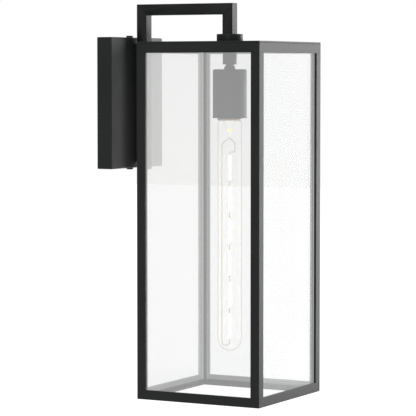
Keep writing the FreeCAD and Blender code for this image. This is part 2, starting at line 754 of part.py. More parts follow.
def socket_shell():
    """Thin screw shell in the socket's bore, drawn as a plain tube."""
    return ring(SHELL_OUTER, SHELL_INNER, at_lamp(SOCKET_FACE + 1.0), at_lamp(BORE_TOP - 2.0))


def centre_contact():
    """Springy tab at the top of the bore, bent down to the lamp's tip."""
    half = CONTACT_WIDTH / 2
    thick = CONTACT_THICKNESS
    outline = [
        at_lamp(BORE_TOP, x=CONTACT_FOOT, y=-half),
        at_lamp(BORE_TOP, x=CONTACT_BEND, y=-half),
        at_lamp(BORE_TOP - CONTACT_DROP + thick, x=CONTACT_FLAT, y=-half),
        at_lamp(BORE_TOP - CONTACT_DROP + thick, x=-CONTACT_TIP, y=-half),
        at_lamp(BORE_TOP - CONTACT_DROP, x=-CONTACT_TIP, y=-half),
        at_lamp(BORE_TOP - CONTACT_DROP, x=CONTACT_FLAT + 0.3, y=-half),
        at_lamp(BORE_TOP - thick, x=CONTACT_BEND + 0.3, y=-half),
        at_lamp(BORE_TOP - thick, x=CONTACT_FOOT, y=-half),
    ]
    return Part.Face(Part.makePolygon(outline + outline[:1])).extrude(Vector(0, CONTACT_WIDTH, 0))


def terminal_screws():
    """Two small screws on the socket's top, for the hot and the neutral lead."""
    screws = []
    for end in (-1, 1):
        seat = at_lamp(SOCKET_TOP, x=end * TERMINAL_OFFSET)
        screws.append(
            pan_screw(seat, Vector(0, 0, -1), TERMINAL_RADIUS, TERMINAL_LENGTH, head=2.6, height=1.8)
        )
    return screws


def make_socket():
    export("arm_collar", collar())
    export("threaded_stem", stem())
    export("stem_sleeve", sleeve())
    export("neck_nut", neck_nut())
    export("socket_cup", cup())
    export("socket_bracket", bracket())
    export("stem_hex_nut", hex_nut())
    export("socket_body", socket_body())
    export("socket_screw_shell", socket_shell())
    export("socket_centre_contact", centre_contact())
    export("terminal_screws", terminal_screws())


# Lamp ---------------------------------------------------------------------------------------

def lamp_cap():
    """Metal screw cap with a flared rim, closed round the insulator."""
    inner = LAMP_CAP_RADIUS - CAP_WALL
    return turned([
        (inner, RIM_BOTTOM),
        (RIM_RADIUS, RIM_BOTTOM),
        (RIM_RADIUS, RIM_TOP - RIM_CHAMFER),
        (LAMP_CAP_RADIUS, RIM_TOP),
        (LAMP_CAP_RADIUS, CAP_TOP),
        (inner, CAP_TOP),
    ])


def lamp_insulator():
    """Black glass disc between the cap and the tip contact."""
    return turned([
        (0.0, CAP_TOP - INSULATOR_SEAT),
        (LAMP_CAP_RADIUS - CAP_WALL, CAP_TOP - INSULATOR_SEAT),
        (LAMP_CAP_RADIUS - CAP_WALL, CAP_TOP),
        (TIP_RADIUS + INSULATOR_LAND, CAP_TOP + INSULATOR_HEIGHT),
        (0.0, CAP_TOP + INSULATOR_HEIGHT),
    ])


def lamp_tip():
    """Soldered contact at the cap's end."""
    low = CAP_TOP + INSULATOR_HEIGHT
    return turned([
        (0.0, low),
        (TIP_RADIUS, low),
        (TIP_RADIUS, low + TIP_HEIGHT * 0.5),
        (TIP_RADIUS * 0.6, low + TIP_HEIGHT),
        (0.0, low + TIP_HEIGHT),
    ])


def envelope(shrink):
    """Outline of the glass tube, from its neck in the cap to its round tip, as a solid."""
    radius = LAMP_RADIUS - shrink
    neck = NECK_RADIUS - shrink
    top = RIM_BOTTOM + NECK_LENGTH
    shoulder = RIM_BOTTOM - LAMP_SHOULDER
    dome = LAMP_TIP + LAMP_RADIUS
    tube = turned([
        (0.0, top),
        (neck, top),
        (neck, RIM_BOTTOM),
        (radius, shoulder),
        (radius, dome),
        (0.0, dome),
    ])
    ball = Part.makeSphere(radius, at_lamp(dome))
    return tube.fuse(ball).removeSplitter()


def lamp_glass():
    """Glass tube with one wall thickness, open at the neck."""
    return envelope(0.0).cut(envelope(LAMP_GLASS_WALL))


def lamp_stem():
    """Glass mount inside the tube: a flare that is pinched round the lead wires."""
    top = RIM_BOTTOM + STEM_RISE
    pinch = RIM_BOTTOM - 0.5 * STEM_LENGTH
    end = RIM_BOTTOM - STEM_LENGTH
    return turned([
        (0.0, top),
        (NECK_RADIUS - LAMP_GLASS_WALL - FLARE_GAP, top),
        (STEM_WAIST_RADIUS, RIM_BOTTOM - 2.0),
        (STEM_PINCH_RADIUS + 1.2, pinch + 2.5),
        (STEM_PINCH_RADIUS, pinch),
        (STEM_PINCH_RADIUS + 0.4, end + 3.0),
        (STEM_PINCH_RADIUS - 1.2, end),
        (0.0, end),
    ])


def support_wires():
    """A long wire down to the last strip and a short one to the first."""
    start = RIM_BOTTOM - STEM_LENGTH
    shoulder = start - WIRE_SPREAD_DROP
    last = FILAMENT_TOP - (FILAMENT_COUNT - 1) * FILAMENT_PITCH - FILAMENT_LENGTH
    long_points = [
        at_lamp(start) - WIRE_PLANE * WIRE_START,
        at_lamp(start - WIRE_STRAIGHT) - WIRE_PLANE * WIRE_START,
        at_lamp(shoulder) - WIRE_PLANE * LONG_WIRE_OFFSET,
        at_lamp(last - LOOP_DROP) - WIRE_PLANE * LONG_WIRE_OFFSET,
        at_lamp(last - LOOP_DROP),
        at_lamp(last),
    ]
    short_points = [
        at_lamp(start) + WIRE_PLANE * WIRE_START,
        at_lamp(start - WIRE_STRAIGHT) + WIRE_PLANE * WIRE_START,
        at_lamp(shoulder) + WIRE_PLANE * SHORT_WIRE_OFFSET,
        at_lamp(FILAMENT_TOP + SHORT_WIRE_END) + WIRE_PLANE * SHORT_WIRE_OFFSET,
        at_lamp(FILAMENT_TOP + SHORT_WIRE_END),
        at_lamp(FILAMENT_TOP),
    ]
    long_wire = wire_along(long_points, [1.0, 2.5, 4.0, 3.0], SUPPORT_WIRE / 2)
    short_wire = wire_along(short_points, [1.0, 2.0, 1.5, 1.5], SUPPORT_WIRE / 2)
    return [long_wire, short_wire]


def filaments():
    """Six straight strips end to end, joined by fine wire."""
    solids = []
    for index in range(FILAMENT_COUNT):
        top = FILAMENT_TOP - index * FILAMENT_PITCH
        low = top - FILAMENT_LENGTH
        solids.append(rod(FILAMENT_RADIUS, at_lamp(low), at_lamp(top)))
        if index < FILAMENT_COUNT - 1:
            solids.append(rod(SUPPORT_WIRE / 2, at_lamp(top - FILAMENT_PITCH), at_lamp(low)))
    return solids


def make_lamp():
    export("lamp_cap", lamp_cap())
    export("lamp_insulator", lamp_insulator())
    export("lamp_tip_contact", lamp_tip())
    export("lamp_glass", lamp_glass())
    export("lamp_stem", lamp_stem())
    export("lamp_support_wires", support_wires())
    export("lamp_filaments", filaments())


# Wiring -------------------------------------------------------------------------------------

def wire_nuts():
    """Three twist-on connectors inside the canopy, open ends up."""
    nuts = []
    for x in WIRE_NUT_X:
        cone = Part.makeCone(
            WIRE_NUT_TOP, WIRE_NUT_RADIUS, WIRE_NUT_LENGTH,
            Vector(x, LEAD_PLANE, WIRE_NUT_Z - WIRE_NUT_LENGTH), Vector(0, 0, 1),
        )
        nuts.append(cone)
    return nuts


def supply_lead(side, nut_x):
    """Insulated wire from a wire nut, through the bushing, leg, bar, drop and stem, to the socket."""
    x = side * LEAD_OFFSET
    head = SOCKET_TOP + LEAD_END_RISE
    points = [
        Vector(nut_x, LEAD_PLANE, WIRE_NUT_Z),
        Vector(nut_x, LEAD_PLANE, WIRE_NUT_Z + SUPPLY_RISE),
        Vector(x, LEAD_PLANE, WIRE_HOLE_Z),
        Vector(x, LEG_Y, WIRE_HOLE_Z),
        Vector(x, LEG_Y, BAR_AXIS_Z),
        Vector(x, -REACH, BAR_AXIS_Z),
        at_lamp(STEM_END - 1.0, x=x),
        at_lamp(head, x=side * (TERMINAL_OFFSET - LEAD_END_INSET)),
    ]
    return wire_along(points, [8.0, 5.0, 3.4, 11.0, 11.0, 3.0], LEAD_RADIUS)


def ground_lead():
    """Green wire from the third wire nut to the ground screw on the crossbar."""
    x = WIRE_NUT_X[2]
    top = WIRE_NUT_Z + GROUND_RISE
    y_low = -BAR_THICKNESS - LEAD_RADIUS
    points = [
        Vector(x, LEAD_PLANE, WIRE_NUT_Z),
        Vector(x, LEAD_PLANE, top),
        Vector(x + GROUND_SIDESTEP, LEAD_PLANE, top),
        Vector(x + GROUND_SIDESTEP, y_low, GROUND_SCREW_Z),
        Vector(M4_RADIUS + LEAD_RADIUS, y_low, GROUND_SCREW_Z),
    ]
    return wire_along(points, [4.4, 4.4, 6.0], LEAD_RADIUS)


def make_wiring():
    export("wire_nuts", wire_nuts())
    export("hot_lead", supply_lead(1, WIRE_NUT_X[1]))
    export("neutral_lead", supply_lead(-1, WIRE_NUT_X[0]))
    export("ground_lead", ground_lead())


make_frame()
make_canopy()
make_arm()
make_socket()
make_lamp()
make_wiring()
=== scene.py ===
# %% [markdown]
# # An outdoor wall lantern
# The lantern is a square cage of charcoal angle bar with four clear panes, hung from a
# square-bar arm on a wall canopy. A long tubular lamp with six lit strips hangs inside it.
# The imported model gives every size. This lesson keeps its places and builds the looks round them.

# %% Load the frame
import json
import math
import bpy
from mathutils import Euler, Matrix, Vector


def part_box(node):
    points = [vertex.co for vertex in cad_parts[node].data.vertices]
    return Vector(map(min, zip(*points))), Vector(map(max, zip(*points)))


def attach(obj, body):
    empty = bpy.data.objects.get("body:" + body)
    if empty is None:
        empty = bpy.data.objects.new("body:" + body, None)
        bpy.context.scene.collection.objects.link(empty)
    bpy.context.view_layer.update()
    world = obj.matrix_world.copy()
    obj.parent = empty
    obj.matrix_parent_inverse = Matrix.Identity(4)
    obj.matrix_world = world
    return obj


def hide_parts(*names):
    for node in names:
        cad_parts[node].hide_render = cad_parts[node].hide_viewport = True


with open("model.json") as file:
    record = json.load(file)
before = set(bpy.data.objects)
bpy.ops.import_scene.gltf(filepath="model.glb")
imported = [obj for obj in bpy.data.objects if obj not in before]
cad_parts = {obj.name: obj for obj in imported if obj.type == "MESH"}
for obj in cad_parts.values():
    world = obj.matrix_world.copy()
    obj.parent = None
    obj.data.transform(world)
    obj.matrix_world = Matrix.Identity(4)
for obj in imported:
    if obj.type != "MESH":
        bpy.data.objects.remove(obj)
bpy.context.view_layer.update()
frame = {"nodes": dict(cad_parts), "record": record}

# %% [markdown]
# ## The camera
# The camera stands to the left of the lantern and a little in front of it, some two and a half
# metres away, with a long lens. A long lens keeps the uprights almost parallel, which is how
# such an object is usually shown. It looks down very slightly and uses no shift.

# %% Camera
roof_low, roof_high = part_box("roof_plate")
lantern = Vector(((roof_low.x + roof_high.x) / 2, (roof_low.y + roof_high.y) / 2, roof_high.z))
turn_from_side = math.radians(28.4)
tilt = math.radians(3.43)
away = 2.5815
to_right = Vector((math.sin(turn_from_side), -math.cos(turn_from_side), 0))
ahead = Vector((math.cos(turn_from_side), math.sin(turn_from_side), 0))

camera_data = bpy.data.cameras.new("camera")
camera_data.lens = 192.2
camera_data.sensor_width = 36.0
camera = bpy.data.objects.new("camera", camera_data)
bpy.context.scene.collection.objects.link(camera)
camera.location = lantern - to_right * 0.02525 - ahead * away - Vector((0, 0, 0.03806))
camera.rotation_euler = Euler((math.pi / 2 - tilt, 0, turn_from_side - math.pi / 2))
bpy.context.scene.camera = camera
print("camera at", [round(v, 3) for v in camera.location])

# %% [markdown]
# ## Floor and light
# A plain pale floor lies well below the lantern. The world is white where the camera sees it
# and dimmer where it lights the metal, so that dark metal stays dark. One large soft light in
# front brightens the lantern's front face, and a weaker one lifts the left face.

# %% Floor, world and lamps
bpy.context.scene.view_settings.view_transform = "Standard"
bpy.ops.object.select_all(action="DESELECT")
bpy.ops.mesh.primitive_plane_add(size=40.0, location=(0, 0, lantern.z - 1.3))
floor = bpy.context.object
floor.name = "floor"
floor_paint = bpy.data.materials.new("floor_paint")
floor_paint.use_nodes = True
floor_shader = floor_paint.node_tree.nodes["Principled BSDF"]
floor_shader.inputs["Base Color"].default_value = (0.9, 0.9, 0.9, 1)
floor_shader.inputs["Roughness"].default_value = 0.9
floor_shader.inputs["Emission Color"].default_value = (1, 1, 1, 1)
floor_seen = floor_paint.node_tree.nodes.new("ShaderNodeLightPath")
floor_glow = floor_paint.node_tree.nodes.new("ShaderNodeMapRange")
floor_glow.inputs["To Min"].default_value = 0.12
floor_glow.inputs["To Max"].default_value = 0.82
floor_paint.node_tree.links.new(floor_seen.outputs["Is Camera Ray"], floor_glow.inputs["Value"])
floor_paint.node_tree.links.new(floor_glow.outputs["Result"], floor_shader.inputs["Emission Strength"])
floor.data.materials.append(floor_paint)


def soft_light(name, place, aim, size, power, colour=(1.0, 1.0, 1.0)):
    """A square area light at place that faces aim."""
    data = bpy.data.lights.new(name, "AREA")
    data.shape = "RECTANGLE"
    data.size, data.size_y = size
    data.energy = power
    data.color = colour
    light = bpy.data.objects.new(name, data)
    light.location = place
    light.rotation_euler = (Vector(aim) - Vector(place)).to_track_quat("-Z", "Y").to_euler()
    bpy.context.scene.collection.objects.link(light)
    return light


middle = Vector((0, lantern.y, lantern.z - 0.2))
soft_light("front_light", (1.92, -0.84, 0.34), middle, (1.2, 2.0), 37)
soft_light("left_light", (-1.9, -0.5, 0.9), middle, (1.2, 1.2), 5)
soft_light("top_light", (0.0, -0.4, 2.0), middle, (1.6, 1.6), 10)

world = bpy.data.worlds.new("studio")
bpy.context.scene.world = world
world.use_nodes = True
sky = world.node_tree
sky.nodes.clear()
seen = sky.nodes.new("ShaderNodeBackground")
seen.inputs["Color"].default_value = (1, 1, 1, 1)
seen.inputs["Strength"].default_value = 1.0
felt = sky.nodes.new("ShaderNodeBackground")
felt.inputs["Color"].default_value = (0.97, 0.98, 1.0, 1)
felt.inputs["Strength"].default_value = 0.39
path = sky.nodes.new("ShaderNodeLightPath")
blend = sky.nodes.new("ShaderNodeMixShader")
sky_out = sky.nodes.new("ShaderNodeOutputWorld")
sky.links.new(path.outputs["Is Camera Ray"], blend.inputs[0])
sky.links.new(felt.outputs[0], blend.inputs[1])
sky.links.new(seen.outputs[0], blend.inputs[2])
sky.links.new(blend.outputs[0], sky_out.inputs[0])

# %% [markdown]
# ## Shader maths
# A small class wraps a node socket, so that shader maths reads as Python. Each operator adds one
# Math node. Any other node is made by one method, which sets its options first.

# %% The value class


class Value:
    """A node socket that can be added, multiplied and compared in plain Python."""

    def __init__(self, tree, socket):
        self.tree = tree
        self.socket = socket

    def node(self, kind, settings=None, **inputs):
        """Any other node: its type, its settings, then the values or links of its inputs."""
        return add_node(self.tree, kind, settings, **inputs)

    def maths(self, operation, *others):
        node = self.tree.nodes.new("ShaderNodeMath")
        node.operation = operation
        for index, item in enumerate(others):
            feed(self.tree, node.inputs[index], item)
        return Value(self.tree, node.outputs[0])

    def __add__(self, other):
        return self.maths("ADD", self, other)

    __radd__ = __add__

    def __sub__(self, other):
        return self.maths("SUBTRACT", self, other)

    def __rsub__(self, other):
        return self.maths("SUBTRACT", other, self)

    def __mul__(self, other):
        return self.maths("MULTIPLY", self, other)

    __rmul__ = __mul__

    def __truediv__(self, other):
        return self.maths("DIVIDE", self, other)

    def __pow__(self, other):
        return self.maths("POWER", self, other)

    def smooth(self, low, high):
        """0 below low and 1 above high, with a soft step between them."""
        node = self.tree.nodes.new("ShaderNodeMapRange")
        node.interpolation_type = "SMOOTHSTEP"
        feed(self.tree, node.inputs["Value"], self)
        node.inputs["From Min"].default_value = low
        node.inputs["From Max"].default_value = high
        return Value(self.tree, node.outputs["Result"])


def feed(tree, socket, item):
    """Link a Value to a socket, or set a plain number or colour on it."""
    if isinstance(item, Value):
        tree.links.new(item.socket, socket)
    else:
        socket.default_value = item


def add_node(tree, kind, settings=None, **inputs):
    """One node of any kind. Input names use _ for a space. Returns its outputs by name."""
    node = tree.nodes.new("ShaderNode" + kind)
    for name, value in (settings or {}).items():
        setattr(node, name, value)
    for name, item in inputs.items():
        feed(tree, node.inputs[name.replace("_", " ")], item)
    return {socket.name: Value(tree, socket) for socket in node.outputs if socket.enabled}


def mix_colours(tree, factor, first, second):
    """Blend two colours by a factor."""
    node = tree.nodes.new("ShaderNodeMix")
    node.data_type = "RGBA"
    feed(tree, node.inputs[0], factor)
    feed(tree, node.inputs[6], first)
    feed(tree, node.inputs[7], second)
    return Value(tree, node.outputs[2])


def new_material(name, **fixed):
    """A material with one Principled shader. fixed holds the values that are the same all over."""
    material = bpy.data.materials.new(name)
    material.use_nodes = True
    tree = material.node_tree
    shader = tree.nodes["Principled BSDF"]
    for key, value in fixed.items():
        shader.inputs[key.replace("_", " ")].default_value = value
    place = add_node(tree, "TexCoord")["Object"]
    return material, tree, shader, place


def noise(tree, place, scale, detail=2.0, stretch=None):
    """Noise in object space, from 0 to 1. stretch is a scale for each axis."""
    if stretch:
        place = add_node(tree, "Mapping", Vector=place, Scale=stretch)["Vector"]
    return add_node(tree, "TexNoise", Vector=place, Scale=scale, Detail=detail)["Fac"]


def bump(tree, shader, height, depth, strength=1.0):
    """Drive the shader's normal from a height pattern that is depth metres deep."""
    made = add_node(tree, "Bump", Height=height, Distance=depth, Strength=strength)
    feed(tree, shader.inputs["Normal"], made["Normal"])


# %% [markdown]
# ## Powder-coated charcoal metal
# The frame, arm and canopy have a satin charcoal powder coat. It is almost black, slightly cool,
# with a very fine orange-peel surface and a faint warm dusting. The coat could be a flat grey,
# but the peel breaks up the highlight the way real powder does, so it gets two sizes of noise.

# %% Charcoal powder coat


def charcoal_coat(name="charcoal_coat", lift=1.0):
    material, tree, shader, place = new_material(name, IOR=1.42)
    mottled = noise(tree, place, 9.0, 3.0)
    grain = noise(tree, place, 900.0, 2.0)
    peel = noise(tree, place, 2200.0, 1.0)
    dark = (0.0122 * lift, 0.0140 * lift, 0.0142 * lift, 1)
    pale = (0.0225 * lift, 0.0230 * lift, 0.0226 * lift, 1)
    cloudy = mottled.smooth(0.35, 0.7) * 0.6 + grain * 0.4
    feed(tree, shader.inputs["Base Color"], mix_colours(tree, cloudy, dark, pale))
    feed(tree, shader.inputs["Roughness"], 0.40 + mottled * 0.08 + grain * 0.06)
    bump(tree, shader, peel * 0.7 + grain * 0.5, 0.00003, 0.5)
    return material


coat = charcoal_coat()
print("made", coat.name)

# %% [markdown]
# ## Glass
# A pane is clear, but it mirrors the bright room as a soft veil that grows as the pane is seen
# more edge-on. A refracting glass would need many bounces for four flat panes, and flat glass
# hardly bends what is behind it. So the pane is a thin white gloss over see-through with a white glow,
# a painted reflection of the bright room: its alpha grows from a low value to a strong one by the facing angle.

# %% Pane and lamp glass


def pane_glass():
    material, tree, shader, place = new_material("pane_glass", IOR=1.2, Emission_Strength=0.66)
    facing = add_node(tree, "LayerWeight", Blend=0.5)["Facing"]
    streaks = noise(tree, place, 6.0, 2.0, (1.0, 1.0, 0.25))
    tint = mix_colours(tree, streaks, (0.15, 0.165, 0.16, 1), (0.19, 0.19, 0.185, 1))
    # The white emission colour is a painted reflection of the bright room: the pane glows though it is no lamp.
    painted_glow = mix_colours(tree, streaks, (0.97, 1.0, 0.99, 1), (1.0, 0.99, 0.97, 1))
    feed(tree, shader.inputs["Base Color"], tint)
    feed(tree, shader.inputs["Emission Color"], painted_glow)
    feed(tree, shader.inputs["Roughness"], 0.06 + streaks * 0.05)
    feed(tree, shader.inputs["Alpha"], 0.182 + facing * 0.15 + streaks * 0.012)
    return material


def lamp_clear(name="lamp_clear", body=0.035, edge=0.95, dark=0.08, falloff=4.2):
    material, tree, shader, place = new_material(name, IOR=1.45, Emission_Strength=0.6)
    facing = add_node(tree, "LayerWeight", Blend=0.5)["Facing"]
    ripple = noise(tree, place, 30.0, 1.0)
    # Painted light: the glass glows faint warm white in its body, a painted glow of the lit strips, and turns dark
    # at its edges, a painted shade where the tube is seen edge-on. dark sets how deep that painted edge shade is.
    painted_edge_shade = facing.smooth(0.45, 0.85)
    tint = mix_colours(tree, painted_edge_shade, (0.9, 0.9, 0.86, 1), (dark, dark * 0.97, dark * 0.92, 1))
    painted_glow = mix_colours(tree, painted_edge_shade, (1.0, 0.96, 0.84, 1), (0.06, 0.055, 0.05, 1))
    feed(tree, shader.inputs["Base Color"], tint)
    feed(tree, shader.inputs["Emission Color"], painted_glow)
    feed(tree, shader.inputs["Roughness"], 0.04 + ripple * 0.04)
    feed(tree, shader.inputs["Alpha"], body + facing ** falloff * edge)
    return material


panes_material = pane_glass()
envelope_material = lamp_clear()
stem_material = lamp_clear("stem_clear", 0.07, 0.8, 0.22, 2.0)
print("made", panes_material.name, envelope_material.name)

# %% [markdown]
# ## Small finishes
# The hardware is zinc plate, brass, solder, porcelain, foam and moulded plastic. Each is one
# function call: a light and a dark tone mixed by noise, and a fine bump for its texture.

# %% A general finish


def finish_of(name, dark, pale, rough, metal=0.0, scale=60.0, stretch=None, depth=0.00003):
    material, tree, shader, place = new_material(name, Metallic=metal)
    patchy = noise(tree, place, scale, 3.0, stretch)
    fine = noise(tree, place, scale * 12, 2.0, stretch)
    feed(tree, shader.inputs["Base Color"], mix_colours(tree, patchy, (*dark, 1), (*pale, 1)))
    feed(tree, shader.inputs["Roughness"], rough + fine * 0.12)
    bump(tree, shader, fine, depth, 0.4)
    return material


finishes = {
    "charcoal_metal": coat,
    "clear_glass": panes_material,
    "lamp_glass": envelope_material,
    "foam": finish_of("foam", (0.015, 0.015, 0.016), (0.03, 0.03, 0.03), 0.8, scale=300, depth=0.0002),
    "zinc_steel": finish_of("zinc", (0.45, 0.46, 0.48), (0.62, 0.62, 0.6), 0.28, 1.0, 90),
    "green_steel": finish_of("green_steel", (0.01, 0.16, 0.05), (0.02, 0.24, 0.08), 0.35, scale=90),
    "porcelain": finish_of("porcelain", (0.74, 0.73, 0.68), (0.83, 0.82, 0.78), 0.12, scale=40),
    "brass": finish_of("brass", (0.62, 0.42, 0.16), (0.78, 0.57, 0.27), 0.22, 1.0, 80),
    "lamp_cap_metal": finish_of("cap_metal", (0.60, 0.45, 0.36), (0.76, 0.62, 0.52), 0.25, 1.0, 80),
    "solder": finish_of("solder", (0.45, 0.45, 0.46), (0.62, 0.62, 0.62), 0.4, 1.0, 200),
    "black_glass": finish_of("black_glass", (0.008, 0.008, 0.01), (0.02, 0.02, 0.024), 0.08, scale=50),
    "support_wire": finish_of("support_wire", (0.42, 0.36, 0.28), (0.55, 0.48, 0.4), 0.35, 1.0, 200),
    "wire_nut_plastic": finish_of("wire_nut", (0.60, 0.16, 0.015), (0.72, 0.22, 0.03), 0.4, scale=90),
    "lead_black": finish_of("lead_black", (0.012, 0.012, 0.012), (0.03, 0.03, 0.03), 0.4, scale=200),
    "lead_white": finish_of("lead_white", (0.68, 0.68, 0.65), (0.8, 0.8, 0.77), 0.4, scale=200),
    "lead_green": finish_of("lead_green", (0.01, 0.17, 0.04), (0.02, 0.26, 0.07), 0.4, scale=200),
    "black_plastic": finish_of("black_plastic", (0.015, 0.015, 0.016), (0.03, 0.03, 0.032), 0.5),
}


def lit_phosphor():
    """The strips' coat: white-hot in the middle and warm yellow at the ends of each strip."""
    material, tree, shader, place = new_material("lit_phosphor", Roughness=0.6)
    shader.inputs["Emission Strength"].default_value = 14.0
    grain = noise(tree, place, 500.0, 2.0)
    warm = mix_colours(tree, grain, (1.0, 0.76, 0.40, 1), (1.0, 0.84, 0.55, 1))
    feed(tree, shader.inputs["Base Color"], warm)
    feed(tree, shader.inputs["Emission Color"], warm)
    return material


def glowing_amber():
    """The bare yellow phosphor at a strip's ends, which glows less than its middle. The wire seals wear it too:
    their amber is their own colour, but their glow is a painted glint.
    """
    material, tree, shader, place = new_material("glowing_amber", Roughness=0.5)
    shader.inputs["Emission Strength"].default_value = 0.85
    grain = noise(tree, place, 900.0, 2.0)
    amber = mix_colours(tree, grain, (1.0, 0.76, 0.16, 1), (1.0, 0.86, 0.30, 1))
    feed(tree, shader.inputs["Base Color"], amber)
    feed(tree, shader.inputs["Emission Color"], amber)
    return material


finishes["filament"] = lit_phosphor()
amber = glowing_amber()
print("finishes", len(finishes))

# %% [markdown]
# ## Helpers for the pieces
# Every operator works on what is selected, so each piece starts from nothing selected. A piece
# that is drawn by the model already, but with knife-sharp edges, is copied, merged and given a
# small bevel: a real edge always catches a line of light.

# %% Helpers
node_slot = {item["node"]: item["material_slot"] for item in frame["record"]["subparts"]}
lamp_bodies = {name: frame["record"]["behaviour"]["bodies"][name] for name in ("lamp", "lamp_carrier")}
node_body = {node: "root" for node in node_slot}
node_body.update({node: body for body, nodes in lamp_bodies.items() for node in nodes})
MM = 0.001


def start_edit(piece):
    bpy.ops.object.select_all(action="DESELECT")
    piece.select_set(True)
    bpy.context.view_layer.objects.active = piece
    bpy.ops.object.mode_set(mode="EDIT")
    bpy.ops.mesh.select_all(action="SELECT")


def end_edit():
    bpy.ops.object.mode_set(mode="OBJECT")


def apply_all(piece):
    """Apply the place and every modifier, so that the shape is in the mesh."""
    bpy.ops.object.select_all(action="DESELECT")
    piece.select_set(True)
    bpy.context.view_layer.objects.active = piece
    bpy.ops.object.transform_apply(location=True, rotation=True, scale=True)
    for modifier in list(piece.modifiers):
        bpy.ops.object.modifier_apply(modifier=modifier.name)


def bevel(piece, width, segments=2, angle=35):
    modifier = piece.modifiers.new("bevel", "BEVEL")
    modifier.width = width
    modifier.segments = segments
    modifier.limit_method = "ANGLE"
    modifier.angle_limit = math.radians(angle)
    modifier.harden_normals = False


def smooth(piece, angle=38):
    bpy.ops.object.select_all(action="DESELECT")
    piece.select_set(True)
    bpy.context.view_layer.objects.active = piece
    bpy.ops.object.shade_smooth_by_angle(angle=math.radians(angle))


def weigh_normals(piece):
    """Let the large flat faces decide the shading, so that only the eased edges look round."""
    modifier = piece.modifiers.new("weighted", "WEIGHTED_NORMAL")
    modifier.keep_sharp = True
    modifier.weight = 100
    bpy.ops.object.modifier_apply(modifier=modifier.name)


def settle(piece, name, nodes, material, body=None):
    """Name a finished piece, give it its material, hide the nodes it stands for, and hang it on the body it rides
    on.
    """
    piece.name = name
    piece.data.name = name
    piece.data.materials.clear()
    piece.data.materials.append(material)
    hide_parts(*nodes)
    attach(piece, body or node_body[nodes[0]])
    print(name, len(piece.data.polygons), "faces")
    return piece


def copy_of(node):
    """A merged copy of a CAD node's mesh, with its flat faces joined."""
    source = frame["nodes"][node]
    piece = bpy.data.objects.new(node + "_look", source.data.copy())
    bpy.context.scene.collection.objects.link(piece)
    piece.data.materials.clear()
    start_edit(piece)
    bpy.ops.mesh.remove_doubles(threshold=0.000002)
    bpy.ops.mesh.dissolve_limited(angle_limit=math.radians(0.5))
    end_edit()
    return piece


def softened(node, width, material=None, segments=2):
    """A CAD node with its edges eased."""
    piece = copy_of(node)
    bevel(piece, width, segments)
    apply_all(piece)
    smooth(piece)
    weigh_normals(piece)
    return settle(piece, node + "_look", [node], material or finishes[node_slot[node]])


# %% [markdown]
# ## Frame, arm and canopy
# These are bent and welded bar and sheet. Their shapes come from the model. Each gets an eased
# edge: about half a millimetre on bar, less on thin sheet.

# %% Bar and sheet pieces
sides = ("front", "rear", "left", "right")
corners = ("front_left", "front_right", "rear_left", "rear_right")
bar_edge = 0.3 * MM
for side in sides:
    softened(side + "_top_rail", bar_edge)
    softened(side + "_bottom_rail", bar_edge)
for corner in corners:
    softened(corner + "_post", bar_edge)
softened("roof_plate", 0.4 * MM)
softened("corner_beads", 0.3 * MM)
softened("bottom_beads", 0.4 * MM)
softened("arm_backing_strip", 0.3 * MM)
softened("wall_crossbar", 0.25 * MM)
softened("socket_bracket", 0.2 * MM)
softened("arm_leg_plug", 0.3 * MM)
softened("canopy_gasket", 0.15 * MM)
softened("stem_hex_nut", 0.3 * MM)
softened("arm_nuts", 0.3 * MM)
softened("ground_screw", 0.15 * MM)
softened("arm_screws", 0.15 * MM)
softened("canopy_screws", 0.15 * MM)
softened("terminal_screws", 0.12 * MM)
softened("socket_centre_contact", 0.1 * MM)
softened("socket_body", 0.4 * MM, segments=3)


def eased(node):
    """A CAD node whose rounded edges are in its shape already: it only needs smooth shading."""
    piece = copy_of(node)
    apply_all(piece)
    smooth(piece)
    return settle(piece, node + "_look", [node], finishes[node_slot[node]])


for node in ("canopy", "arm_bar", "arm_leg", "arm_drop", "wire_bushing"):
    eased(node)
for side in sides:
    softened(side + "_pane", 0.25 * MM)

# %% [markdown]
# ## Turned pieces
# The collar, sleeve, nut, cup and every lamp part are round about the lantern's centre line.
# A lathe is the natural way to make them: half of the outline is drawn as a chain of edges,
# spun once round the axis, merged at the seam, and its sharp rims are beveled.

# %% The lathe
lamp_low, lamp_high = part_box("lamp_glass")
axis_x = (lamp_low.x + lamp_high.x) / 2
axis_y = (lamp_low.y + lamp_high.y) / 2


def spun(outline, steps=72, at_x=axis_x, at_y=axis_y):
    """Spin a closed outline of (radius, height) points once round an upright axis."""
    points = [(at_x + radius, at_y, height) for radius, height in outline]
    edges = [(index, (index + 1) % len(points)) for index in range(len(points))]
    if outline[0][0] == 0.0 and outline[-1][0] == 0.0:
        edges.pop()
    mesh = bpy.data.meshes.new("turned")
    mesh.from_pydata(points, edges, [])
    piece = bpy.data.objects.new("turned", mesh)
    bpy.context.scene.collection.objects.link(piece)
    start_edit(piece)
    bpy.ops.mesh.spin(steps=steps, angle=2 * math.pi, center=(at_x, at_y, 0), axis=(0, 0, 1))
    bpy.ops.mesh.select_all(action="SELECT")
    bpy.ops.mesh.remove_doubles(threshold=0.000001)
    bpy.ops.mesh.normals_make_consistent(inside=False)
    end_edit()
    return piece


def turned_piece(node, outline, width, material=None, steps=72, angle=38):
    """A turned piece in place of a CAD node, with its rims eased."""
    piece = spun(outline, steps)
    if width:
        bevel(piece, width, 3)
    apply_all(piece)
    smooth(piece, angle)
    return settle(piece, node + "_look", [node], material or finishes[node_slot[node]])


def span(node):
    """A round node's outer radius, lowest and highest height."""
    low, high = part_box(node)
    return (high.x - low.x) / 2, low.z, high.z


